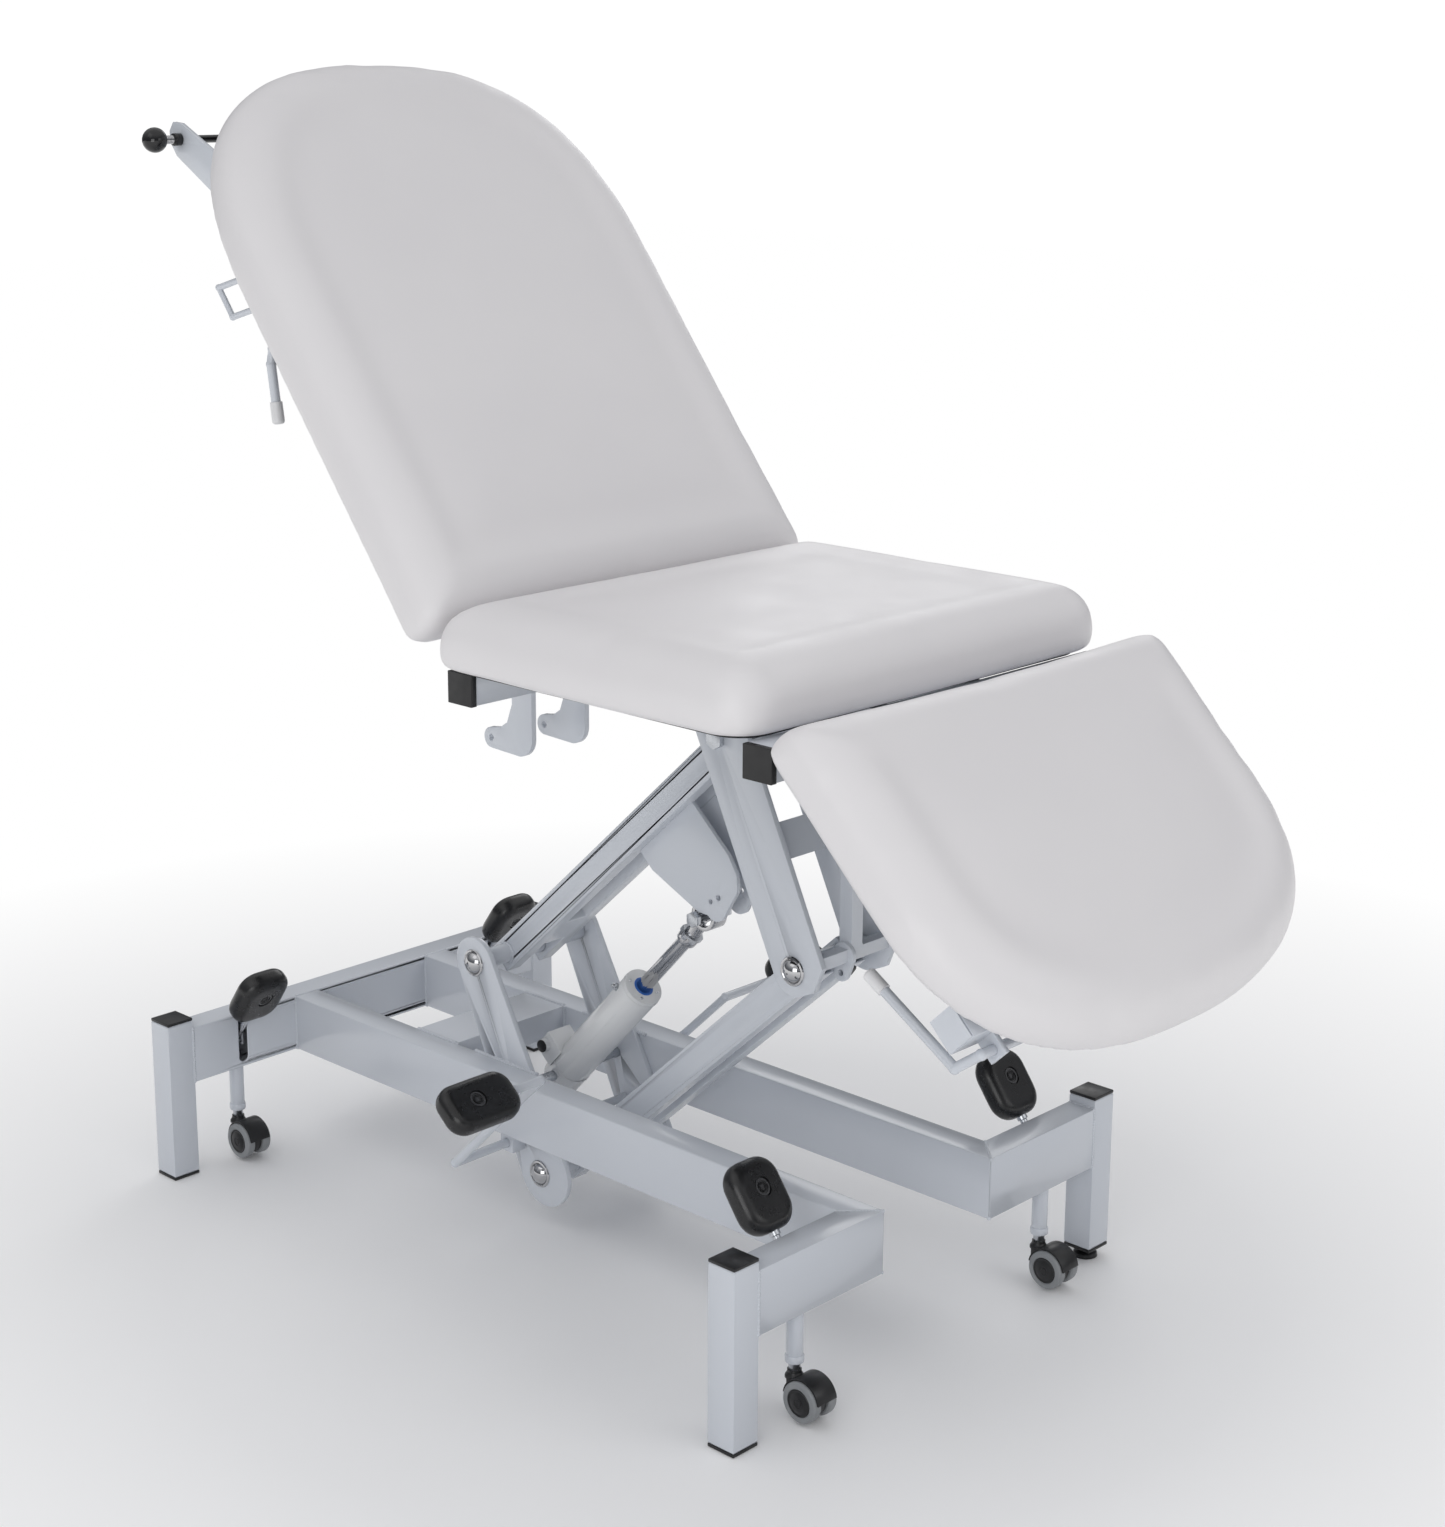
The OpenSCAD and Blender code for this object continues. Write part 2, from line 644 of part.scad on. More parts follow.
// ---------- leg section ----------
module leg_frame() color(steel) on_leg() {
  pair() {
    difference() {
      translate([hinge_x - 15, -332, -25]) cube([30, 296, 25]);
      translate([hinge_x - 13, -329, -23]) cube([26, 291, 21]);
    }
    slab(hinge_x - 4, 8) difference() {
      strap([-42, -12], 9, leg_pin, 9);
      translate(leg_pin) circle(4 + run);
    }
  }
  translate([-280, -371, -40]) difference() {
    cube([560, 40, 40]);
    translate([-1, wall, wall]) cube([562, 34, 34]);
  }
  // ears of the release lever
  for (x0 = [-236, -150]) slab(x0, 6) difference() {
    translate([-397, -40]) square([27, 26]);
    translate([-386, -27]) circle(6 + run);
  }
}
module leg_board() color(wood) on_leg() mirror([0, 1, 0]) linear_extrude(8)
  pad_outline(328, 8, leg_len, 215, 2.2, 20);
module leg_cushion() color(vinyl) on_leg() {
  translate([0, 0, 8]) mirror([0, 1, 0]) linear_extrude(leg_t - 8) pad_outline(328, 5, leg_len, 215, 2.2, 0);
}
module leg_lever() color(steel) on_leg() {
  bent([[-130, -386, -27], [-256, -386, -27], [-258, -380, -66], [-258, -244, -98]], 6);
}

// ---------- assembly ----------
head_beam();
left_rail();
right_rail();
foot_beams();
mid_crossbar();
corner_posts();
post_caps();
bracket_plates();
base_axles();
base_dome_caps();
castor_guides();
lever_brackets();
pedal_bearings();
levelling_foot();
upper_arm_tubes();
upper_arm_sleeves();
gusset_plates();
gusset_bolt();
lower_arm_tubes();
lower_arm_sleeves();
link_plates();
link_crossmembers();
link_axles();
link_dome_caps();
seat_frame();
seat_tube_caps();
rear_hook_plates();
hinge_pins();
seat_board();
seat_cushion();
cylinder_barrel();
pump_block();
piston_rod();
pump_pedal();
pedal_pads();
castor_lever_head_left();
castor_lever_head_right();
castor_lever_foot_left();
castor_lever_foot_right();
castor_stem_head_left();
castor_stem_head_right();
castor_stem_foot_left();
castor_stem_foot_right();
castor_hood_head_left();
castor_hood_head_right();
castor_hood_foot_left();
castor_hood_foot_right();
castor_wheel_head_left();
castor_wheel_head_right();
castor_wheel_foot_left();
castor_wheel_foot_right();
backrest_frame();
backrest_board();
backrest_cushion();
roll_rod();
backrest_lever();
leg_frame();
leg_board();
leg_cushion();
leg_lever();
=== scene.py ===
# %% [markdown]
# # A hydraulic examination couch
# The couch has a padded top in three sections, a parallel-arm lift driven by a hydraulic cylinder, and a
# steel base with foot pedals and castors. The steel parts arrive as exact CAD solids that must not move.
# Everything soft, and the small trim that gives metal its scale, is built here around them, in metres, in
# the same frame.

# %% Load the fixed frame
import json
import math

import bmesh
import bpy
import numpy as np
from mathutils import Matrix, Vector


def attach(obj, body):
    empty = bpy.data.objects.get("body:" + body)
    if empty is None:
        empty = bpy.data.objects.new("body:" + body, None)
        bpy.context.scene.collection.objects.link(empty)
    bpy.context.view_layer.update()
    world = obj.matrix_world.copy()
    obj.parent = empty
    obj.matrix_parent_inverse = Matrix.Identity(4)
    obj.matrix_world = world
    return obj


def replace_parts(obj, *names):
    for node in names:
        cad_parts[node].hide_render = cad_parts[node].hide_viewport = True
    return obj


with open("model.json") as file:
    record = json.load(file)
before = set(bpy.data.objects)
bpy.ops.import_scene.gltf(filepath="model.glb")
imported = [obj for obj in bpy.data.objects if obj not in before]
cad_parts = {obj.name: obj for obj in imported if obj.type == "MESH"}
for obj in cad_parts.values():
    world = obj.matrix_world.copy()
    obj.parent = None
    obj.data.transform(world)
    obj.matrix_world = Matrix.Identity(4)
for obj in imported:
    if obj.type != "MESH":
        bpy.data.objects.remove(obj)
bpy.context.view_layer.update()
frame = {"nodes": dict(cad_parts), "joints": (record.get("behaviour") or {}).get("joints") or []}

joints = {j["name"]: j for j in frame["joints"]}
nodes = frame["nodes"]

# %% [markdown]
# ## Materials
# Each finish is a small node tree. Noise in object space makes what a close look would show: the orange
# peel of a powder coat, the grain of artificial leather, the haze on chrome. Roughness varies a little
# everywhere, because a real surface never reflects evenly. Numbers that are the same all over are set on
# the shader itself.


# %% A helper that starts every finish
def finish(name, colour, rough, metal=0.0, **more):
    """A new material and its shader; more holds extra shader inputs."""
    mat = bpy.data.materials.new(name)
    mat.use_nodes = True
    shader = mat.node_tree.nodes["Principled BSDF"]
    shader.inputs["Base Color"].default_value = (*colour, 1)
    shader.inputs["Roughness"].default_value = rough
    shader.inputs["Metallic"].default_value = metal
    for key, value in more.items():
        shader.inputs[key.replace("_", " ")].default_value = value
    return mat, shader


def add_noise(mat, scale, detail=3.0, kind="ShaderNodeTexNoise"):
    """A noise texture in object space; scale is in features per metre."""
    tree = mat.node_tree
    place = tree.nodes.new("ShaderNodeTexCoord")
    noise = tree.nodes.new(kind)
    noise.inputs["Scale"].default_value = scale
    if "Detail" in noise.inputs:
        noise.inputs["Detail"].default_value = detail
    tree.links.new(place.outputs["Object"], noise.inputs["Vector"])
    return noise


def vary(mat, noise, socket, low, high):
    """Drives a shader number between low and high with a noise."""
    tree = mat.node_tree
    span = tree.nodes.new("ShaderNodeMapRange")
    span.inputs["From Min"].default_value = 0.3
    span.inputs["From Max"].default_value = 0.7
    span.inputs["To Min"].default_value = low
    span.inputs["To Max"].default_value = high
    tree.links.new(noise.outputs[0], span.inputs["Value"])
    tree.links.new(span.outputs["Result"], socket)


def tint(mat, noise, socket, one, two):
    """Mixes two colours with a noise."""
    tree = mat.node_tree
    ramp = tree.nodes.new("ShaderNodeValToRGB")
    ramp.color_ramp.elements[0].position = 0.35
    ramp.color_ramp.elements[1].position = 0.65
    ramp.color_ramp.elements[0].color = (*one, 1)
    ramp.color_ramp.elements[1].color = (*two, 1)
    tree.links.new(noise.outputs[0], ramp.inputs["Fac"])
    tree.links.new(ramp.outputs["Color"], socket)


def bump(mat, shader, noise, strength, depth):
    """Raises the surface by a noise; depth is in metres."""
    tree = mat.node_tree
    node = tree.nodes.new("ShaderNodeBump")
    node.inputs["Strength"].default_value = strength
    node.inputs["Distance"].default_value = depth
    tree.links.new(noise.outputs[0], node.inputs["Height"])
    tree.links.new(node.outputs["Normal"], shader.inputs["Normal"])
    return node


# %% [markdown]
# The tubes carry a light grey powder coat. It is one skin of fused plastic, so it is made as a rough base
# under a thin clear coat. The noise stays faint, because strong noise reads as bare galvanised steel.

# %% Powder-coated steel
def powder_coat(name, colour, shade, rough=(0.25, 0.28)):
    mat, shader = finish(name, colour, rough[0], Coat_Weight=0.25, Coat_Roughness=0.15)
    cloud = add_noise(mat, 9.0)
    tint(mat, cloud, shader.inputs["Base Color"], colour, shade)
    vary(mat, add_noise(mat, 7.0), shader.inputs["Roughness"], rough[0], rough[0] + 0.012)
    bump(mat, shader, add_noise(mat, 900.0, 2.0), 0.05, 0.00005)
    return mat


frame_paint = powder_coat("frame_paint", (0.62, 0.65, 0.70), (0.616, 0.646, 0.696))
cylinder_paint = powder_coat("cylinder_paint", (0.74, 0.75, 0.76), (0.71, 0.72, 0.73), (0.22, 0.3))
print("paints:", frame_paint.name, cylinder_paint.name)


# %% [markdown]
# Polished caps and the piston rod are chrome; bolts and castor stems are zinc. Both are full metals, and
# the difference is in roughness and colour alone.

# %% Chrome and zinc
def plated(name, colour, rough, scale):
    mat, shader = finish(name, colour, rough[0], metal=1.0)
    vary(mat, add_noise(mat, scale), shader.inputs["Roughness"], *rough)
    bump(mat, shader, add_noise(mat, scale * 6), 0.08, 0.0001)
    return mat


chrome = plated("chrome", (0.52, 0.52, 0.53), (0.04, 0.1), 70.0)
zinc = plated("zinc", (0.55, 0.57, 0.60), (0.22, 0.38), 140.0)


# %% [markdown]
# Moulded parts share one helper: a base colour, a slow change of gloss and a fine grain left by the tool.

# %% Rubber and plastics
def moulded(name, colour, shade, rough, grain, depth):
    mat, shader = finish(name, colour, rough[0])
    tint(mat, add_noise(mat, 25.0), shader.inputs["Base Color"], colour, shade)
    vary(mat, add_noise(mat, 90.0), shader.inputs["Roughness"], *rough)
    bump(mat, shader, add_noise(mat, grain, 4.0), 0.35, depth)
    return mat


black_plastic = moulded("black_plastic", (0.007, 0.007, 0.008), (0.012, 0.012, 0.013), (0.32, 0.45),
    1500.0, 0.0001)
black_rubber = moulded("black_rubber", (0.006, 0.006, 0.0065), (0.011, 0.011, 0.012), (0.24, 0.36), 900.0,
    0.0002)
black_gloss = moulded("black_gloss", (0.008, 0.008, 0.009), (0.012, 0.012, 0.013), (0.05, 0.12), 200.0,
    0.00003)
tread = moulded("tread", (0.23, 0.24, 0.25), (0.29, 0.30, 0.31), (0.42, 0.58), 800.0, 0.0001)
pale_plastic = moulded("pale_plastic", (0.72, 0.72, 0.73), (0.78, 0.78, 0.79), (0.3, 0.42), 900.0, 0.00005)
# the raised rings are a lighter grey than the black rubber as a painted highlight on their edges; their lower
# roughness is real gloss
ring_grey = moulded("ring_grey", (0.05, 0.05, 0.053), (0.06, 0.06, 0.063), (0.14, 0.2), 900.0, 0.00003)
blue_seal = moulded("blue_seal", (0.02, 0.10, 0.42), (0.03, 0.14, 0.5), (0.3, 0.4), 900.0, 0.00005)

# %% [markdown]
# Artificial leather is a smooth knitted cloth under a vinyl skin. Its grain is finer than a millimetre,
# so only a faint cell pattern shows, plus slow changes in gloss where the foam pulls it tight.


# %% Artificial leather and lining cloth
def artificial_leather():
    mat, shader = finish("vinyl", (0.765, 0.75, 0.76), 0.42, Coat_Weight=0.08, Coat_Roughness=0.35)
    tint(mat, add_noise(mat, 5.0), shader.inputs["Base Color"], (0.77, 0.755, 0.765), (0.755, 0.74, 0.752))
    vary(mat, add_noise(mat, 14.0), shader.inputs["Roughness"], 0.38, 0.5)
    bump(mat, shader, add_noise(mat, 700.0, kind="ShaderNodeTexVoronoi"), 0.12, 0.0002)
    return mat


def lining_cloth():
    mat, shader = finish("lining", (0.02, 0.02, 0.022), 0.85)
    tint(mat, add_noise(mat, 260.0), shader.inputs["Base Color"], (0.018, 0.018, 0.02), (0.04, 0.04, 0.043))
    bump(mat, shader, add_noise(mat, 1400.0, kind="ShaderNodeTexVoronoi"), 0.6, 0.0003)
    return mat


vinyl, lining = artificial_leather(), lining_cloth()
print(len(bpy.data.materials), "materials")

# %% [markdown]
# ## Finishing the CAD nodes
# A CAD solid has knife-sharp edges, and no real tube has. A bevel modifier of a fraction of a millimetre
# catches the light along every edge without moving the part. The solids arrive with a separate copy of
# each corner per face, so a weld modifier joins the copies first.

# %% Give every CAD node its material and its edges
FINISHES = {
    "chrome": ["base_dome_caps", "link_dome_caps", "piston_rod"],
    "zinc": ["base_axles", "link_axles", "gusset_bolt", "hinge_pins", "castor_stem"],
    "black_plastic": ["post_caps", "seat_tube_caps", "levelling_foot", "castor_hood"],
    "black_gloss": ["roll_rod"],
    "cylinder_paint": ["cylinder_barrel", "pump_block"],
    "lining": ["seat_board", "backrest_board", "leg_board"],
}
PAINTS = dict(chrome=chrome, zinc=zinc, black_plastic=black_plastic, black_gloss=black_gloss,
              cylinder_paint=cylinder_paint, lining=lining)
TUBE_EDGE = 0.0022  # corner radius of welded square tube
PLATE_EDGE = 0.0007  # broken edge of a cut plate
TUBES = ("head_beam", "left_rail", "right_rail", "foot_beams", "mid_crossbar", "corner_posts",
    "upper_arm_tubes",
         "lower_arm_tubes")


def finish_of(node):
    for name, starts in FINISHES.items():
        if any(node.startswith(s) for s in starts):
            return PAINTS[name]
    return frame_paint


def break_edges(obj, width, steps=2, angle=35):
    """Joins the corner copies, bevels the sharp edges and keeps the faces flat."""
    join = obj.modifiers.new("join", "WELD")
    join.merge_threshold = 0.00002
    edge = obj.modifiers.new("edge", "BEVEL")
    edge.width = width
    edge.segments = steps
    edge.limit_method = "ANGLE"
    edge.angle_limit = math.radians(angle)
    edge.harden_normals = True
    obj.data.shade_smooth()


for name, node in nodes.items():
    node.data.materials.clear()
    node.data.materials.append(finish_of(name))
    break_edges(node, TUBE_EDGE if name in TUBES else PLATE_EDGE)
print("finished", len(nodes), "CAD nodes")

# %% [markdown]
# The backrest and the leg section each have their own tilted frame, so that a cushion can be drawn flat
# and placed.


# %% The tilted frames of the backrest and the leg section
def section_frame(joint, tilt, pin):
    """Own frame of a padded section: x across, y along, z towards its face; pin is the hinge in it."""
    hinge = Matrix.Translation(joints[joint]["pos_m"])
    return hinge @ Matrix.Rotation(math.radians(tilt), 4, "X") @ Matrix.Translation((0, -pin[0], -pin[1]))


back_frame = section_frame("backrest_tilt", -joints["backrest_tilt"]["range_deg"][0], (-0.0416, -0.0201))
leg_frame = section_frame("leg_tilt", joints["leg_tilt"]["range_deg"][1], (-0.0108, -0.0201))

# %% [markdown]
# ## Mesh helpers
# Three builders make nearly every detail: a lathe for round pieces, a bar for bent rods, and a pad for
# anything with a flat outline and soft faces.


# %% Turn vertices and faces into a piece on a body
def piece(name, part, mat, body, place=Matrix.Identity(4)):
    """part is (vertices, faces); place puts it in the shared frame."""
    verts, faces = part
    mesh = bpy.data.meshes.new(name)
    mesh.from_pydata([tuple(place @ Vector(v)) for v in verts], [], faces)
    made = bmesh.new()
    made.from_mesh(mesh)
    bmesh.ops.recalc_face_normals(made, faces=made.faces)
    made.to_mesh(mesh)
    made.free()
    mesh.materials.append(mat)
    mesh.shade_smooth()
    mesh.set_sharp_from_angle(angle=math.radians(38))
    obj = bpy.data.objects.new(name, mesh)
    bpy.context.scene.collection.objects.link(obj)
    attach(obj, body)
    return obj


def towards(origin, axis):
    """A frame at origin whose z looks along axis."""
    return Matrix.Translation(origin) @ Vector(axis).to_track_quat("Z", "Y").to_matrix().to_4x4()


def joined(parts):
    """Several (vertices, faces) as one."""
    verts, faces = [], []
    for v, f in parts:
        start = len(verts)
        verts += v
        faces += [tuple(i + start for i in face) for face in f]
    return verts, faces


def moved(part, matrix):
    verts, faces = part
    return [tuple(matrix @ Vector(v)) for v in verts], faces


# %% [markdown]
# Caps, nuts, wheels and screws are turned shapes. A profile spun round an axis gives clean quads, and six
# sides give a hexagon.

# %% A lathe
def lathe(profile, sides=48):
    """Spins (radius, height) points round z. A first or last radius of 0 closes the end."""
    verts, faces = [], []
    for r, h in profile:
        for i in range(sides):
            a = 2 * math.pi * i / sides
            verts.append((r * math.cos(a), r * math.sin(a), h))
    for k in range(len(profile) - 1):
        for i in range(sides):
            j = (i + 1) % sides
            faces.append((k * sides + i, k * sides + j, (k + 1) * sides + j, (k + 1) * sides + i))
    for k, end in ((0, profile[0]), (len(profile) - 1, profile[-1])):
        if end[0] > 0:
            faces.append(tuple(k * sides + i for i in range(sides)))
    return clean(verts, faces)


def clean(verts, faces):
    """Merges vertices that share a place, and drops faces that collapse."""
    made = bmesh.new()
    points = [made.verts.new(v) for v in verts]
    for f in faces:
        made.faces.new([points[i] for i in f])
    bmesh.ops.remove_doubles(made, verts=made.verts, dist=1e-7)
    made.verts.index_update()
    result = [tuple(v.co) for v in made.verts], [tuple(v.index for v in f.verts) for f in made.faces]
    made.free()
    return result


def arc(cx, cy, r, start, end, steps=6):
    """Points of an arc for a lathe profile, angles in degrees."""
    angles = [math.radians(start + (end - start) * i / steps) for i in range(steps + 1)]
    return [(cx + r * math.cos(a), cy + r * math.sin(a)) for a in angles]


# %% [markdown]
# Weld beads are thin round bars. Each point of the path carries its own radius, so that a bead can
# ripple.

# %% A bar along a bent path
def bar(points, radius, sides=14):
    """A round bar through points; radius is a number or one number per point."""
    points = [Vector(p) for p in points]
    radii = radius if isinstance(radius, list) else [radius] * len(points)
    verts, faces = [], []
    side = None
    for i, p in enumerate(points):
        along = (points[min(i + 1, len(points) - 1)] - points[max(i - 1, 0)]).normalized()
        if side is None:
            side = along.orthogonal().normalized()
        side = (side - along * side.dot(along)).normalized()
        up = along.cross(side)
        for k in range(sides):
            a = 2 * math.pi * k / sides
            verts.append(tuple(p + (side * math.cos(a) + up * math.sin(a)) * radii[i]))
    for i in range(len(points) - 1):
        for k in range(sides):
            m = (k + 1) % sides
            faces.append((i * sides + k, i * sides + m, (i + 1) * sides + m, (i + 1) * sides + k))
    faces += [tuple(range(sides)), tuple((len(points) - 1) * sides + k for k in range(sides))]
    return verts, faces


# %% [markdown]
# Cushions and rubber pads have a flat outline and soft faces. Rings that shrink towards a centre keep the
# edge dense, where the curve is, and each height depends on how far a point is from the edge.

# %% A soft pad inside an outline
def edge_distance(points, outline):
    """How far each point lies inside a closed outline."""
    a, b = outline, np.roll(outline, -1, axis=0)
    d = b - a
    rel = points[:, None, :] - a[None]
    t = np.clip((rel * d[None]).sum(2) / (d * d).sum(1)[None], 0, 1)
    return np.sqrt(((rel - t[..., None] * d[None]) ** 2).sum(2)).min(1)


def pad(outline, centre, shares, top, bottom, rings=()):
    """A closed pad. shares are the rings from centre to outline, rings are extra circles round centre first.
    top and bottom give heights for arrays of distance from the edge and from the centre."""
    outline, centre = np.array(outline), np.array(centre)
    n = len(outline)
    spoke = outline - centre
    length = np.linalg.norm(spoke, axis=1)
    inner = rings[-1] if rings else 0.0
    reach = [np.full(n, r) for r in rings] + [inner + s * (length - inner) for s in shares]
    flat = np.concatenate([centre + spoke / length[:, None] * r[:, None] for r in reach])
    depth = edge_distance(flat, outline)
    out = np.linalg.norm(flat - centre, axis=1)
    verts, faces = [], []
    for height in (top, bottom):
        start = len(verts)
        verts += [(x, y, h) for (x, y), h in zip(flat, height(depth, out))]
        verts.append((*centre, float(height(np.array([length.min()]), np.array([0.0]))[0])))
        last = start + len(flat)
        for k in range(len(reach) - 1):
            for i in range(n):
                j = (i + 1) % n
                faces.append((start + k * n + i, start + k * n + j, start + (k + 1) * n + j,
                    start + (k + 1) * n + i))
        faces += [(last, start + i, start + (i + 1) % n) for i in range(n)]
    rim, other = (len(reach) - 1) * n, len(flat) + 1 + (len(reach) - 1) * n
    faces += [(rim + i, rim + (i + 1) % n, other + (i + 1) % n, other + i) for i in range(n)]
    return verts, faces


def shoulder(depth, radius):
    """Drop of a quarter-round edge at a distance from the edge."""
    d = np.clip(depth, 0, radius)
    return radius - np.sqrt(np.maximum(radius**2 - (radius - d) ** 2, 0))


print("helpers ready")

# %% [markdown]
# ## Cushions
# Each cushion starts as a pad with a wide soft shoulder, a slight ridge where the vinyl is pulled over
# the foam, and a low crown. Cloth under light pressure then tightens the cover. No point moves far, and
# the back stays on its board.


# %% Outlines of the three cushions
def round_end(w, y0, length, depth, power, steps=40, corner=0.02):
    """A pad outline: square end at y0 with eased corners, full round end at length."""
    half = []
    for i in range(7):
        a = math.radians(-90 + 90 * i / 6)
        half.append((w - corner + corner * math.cos(a), y0 + corner + corner * math.sin(a)))
    rise = np.linspace(y0 + corner, length - depth, 24)[1:-1]
    half += [(w, y) for y in rise]
    for i in range(steps):
        t = math.pi / 2 * i / steps
        half.append((w * math.cos(t) ** (2 / power), length - depth + depth * math.sin(t) ** (2 / power)))
    flat = [(x, y0) for x in np.linspace(-(w - corner), w - corner, 24)[1:-1]]
    return half + [(0.0, length)] + [(-x, y) for x, y in reversed(half)] + flat


def seat_shape(w, y0, y1, front, back):
    """Rectangle with round front corners."""
    points = []
    for cx, cy, r, start in ((w, y0, front, -90), (w, y1, back, 0), (-w, y1, back, 90), (-w, y0, front,
        180)):
        sx, sy = (1 if cx > 0 else -1), (-1 if cy == y0 else 1)
        for i in range(9):
            a = math.radians(start + 90 * i / 8)
            points.append((cx - sx * r + r * math.cos(a), cy - sy * r + r * math.sin(a)))
    dense = []
    for a, b in zip(points, points[1:] + points[:1]):
        n = max(1, int(math.dist(a, b) / 0.02))
        dense += [(a[0] + (b[0] - a[0]) * i / n, a[1] + (b[1] - a[1]) * i / n) for i in range(n)]
    return dense


SHARES = [0.02, 0.15, 0.3, 0.42, 0.54, 0.64, 0.71, 0.76, 0.8, 0.835, 0.865, 0.89, 0.912, 0.932, 0.95,
    0.965, 0.977, 0.986,
          0.993, 0.998, 1.0]


# %% [markdown]
# The cover wraps a little past the board, as it is stapled under it. The remesh gives cloth an even grid,
# the pressure fills it, and a smooth modifier removes the last marks of the grid.

# %% Shape, cover and tighten one cushion
def cushion(name, outline, centre, base, thick, place, body, node, edge=0.042, crown=0.006, cap=0.006):
    """base and thick are heights in the cushion's own frame; edge is the shoulder radius."""
    def top(depth, out):
        ridge = 0.0042 * np.exp(-(((depth - 0.058) / 0.019) ** 2))
        hollow = 0.0022 * np.exp(-(((depth - 0.102) / 0.022) ** 2))
        rise = crown * (1 - np.exp(-np.maximum(depth - 0.05, 0) / 0.09))
        round_off = shoulder(depth, edge) + 0.1 * shoulder(depth, 0.07)
        return base + thick - crown - round_off + ridge - hollow + rise

    def bottom(depth, out):
        # the cover wraps down past the edge of the board
        wrap = 0.0078 * np.clip((0.022 - depth) / 0.004, 0, 1)
        return base - wrap + shoulder(depth, 0.009)

    obj = piece(name, pad(outline, centre, SHARES, top, bottom), vinyl, body, place)
    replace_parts(obj, node)
    tighten(obj, place, cap)
    obj.modifiers.new("smooth", "SUBSURF").levels = 1
    obj.modifiers["smooth"].render_levels = 1
    return obj


def tighten(obj, place, cap):
    """Remesh, inflate for a few frames, keep every point near its start, and put the back on its board."""
    scene = bpy.context.scene
    remesh = obj.modifiers.new("remesh", "REMESH")
    remesh.mode, remesh.voxel_size, remesh.use_smooth_shade = "VOXEL", 0.006, True
    graph = bpy.context.evaluated_depsgraph_get()
    mesh = bpy.data.meshes.new_from_object(obj.evaluated_get(graph))
    obj.modifiers.clear()
    obj.data = mesh
    start = np.array([v.co for v in mesh.vertices])
    cloth = obj.modifiers.new("cover", "CLOTH")
    cloth.settings.effector_weights.gravity = 0
    cloth.settings.use_pressure = True
    cloth.settings.uniform_pressure_force = 4.0
    cloth.settings.mass = 0.3
    cloth.settings.quality = 5
    cloth.settings.tension_stiffness = 25
    cloth.settings.bending_stiffness = 2.0
    cloth.point_cache.frame_start, cloth.point_cache.frame_end = 1, 20
    for frame_number in range(1, 21):
        scene.frame_set(frame_number)
    graph = bpy.context.evaluated_depsgraph_get()
    swollen = obj.evaluated_get(graph).to_mesh()
    end = np.array([v.co for v in swollen.vertices])
    obj.modifiers.clear()
    scene.frame_set(1)
    up = np.array((place.to_3x3() @ Vector((0, 0, 1))).normalized())
    move = end - start
    size = np.linalg.norm(move, axis=1)
    move *= np.minimum(1.0, cap / np.maximum(size, 1e-9))[:, None]
    down = np.minimum(move @ up, 0)
    move -= down[:, None] * up
    new = start + move
    mesh.vertices.foreach_set("co", new.astype(np.float32).ravel())
    mesh.update()
    ease = obj.modifiers.new("ease", "SMOOTH")
    ease.factor, ease.iterations = 0.5, 20
    print(obj.name, len(mesh.vertices), "points, mean move", round(float(size.mean()) * 1000, 2), "mm")


# %% [markdown]
# The backrest and the leg section end in a full round, and the seat is square with eased front corners.
# Each rides on its own body, so the gaps open and close with the hinges.

# %% The three cushions
backrest_pad = cushion("backrest_pad", round_end(0.338, -0.017, 0.808, 0.335, 2.5), (0.0, 0.42), 0.008,
    0.070,
                       back_frame, "backrest", "backrest_cushion")
seat_pad = cushion("seat_pad", seat_shape(0.333, -0.351, 0.155, 0.05, 0.022), (0.0, -0.1), 0.8165, 0.073,
                   Matrix.Identity(4), "seat_carriage", "seat_cushion")
turned = Matrix.Rotation(math.pi, 4, "Z")
leg_pad = cushion("leg_pad", round_end(0.336, 0.003, 0.456, 0.24, 2.45), (0.0, 0.225), 0.008, 0.067,
                  leg_frame @ turned, "leg_section", "leg_cushion")
print("cushions:", backrest_pad.name, seat_pad.name, leg_pad.name)

# %% [markdown]
# ## Foot pads and castors
# The levers and the pump pedal end in moulded rubber pads with a round recess of raised rings. The
# castors are small twin wheels with grey tyres on black hubs.


# %% A moulded rubber pad with its rings
def rubber_outline(w, length, r):
    return seat_shape(w / 2, -length / 2, length / 2, r, r)


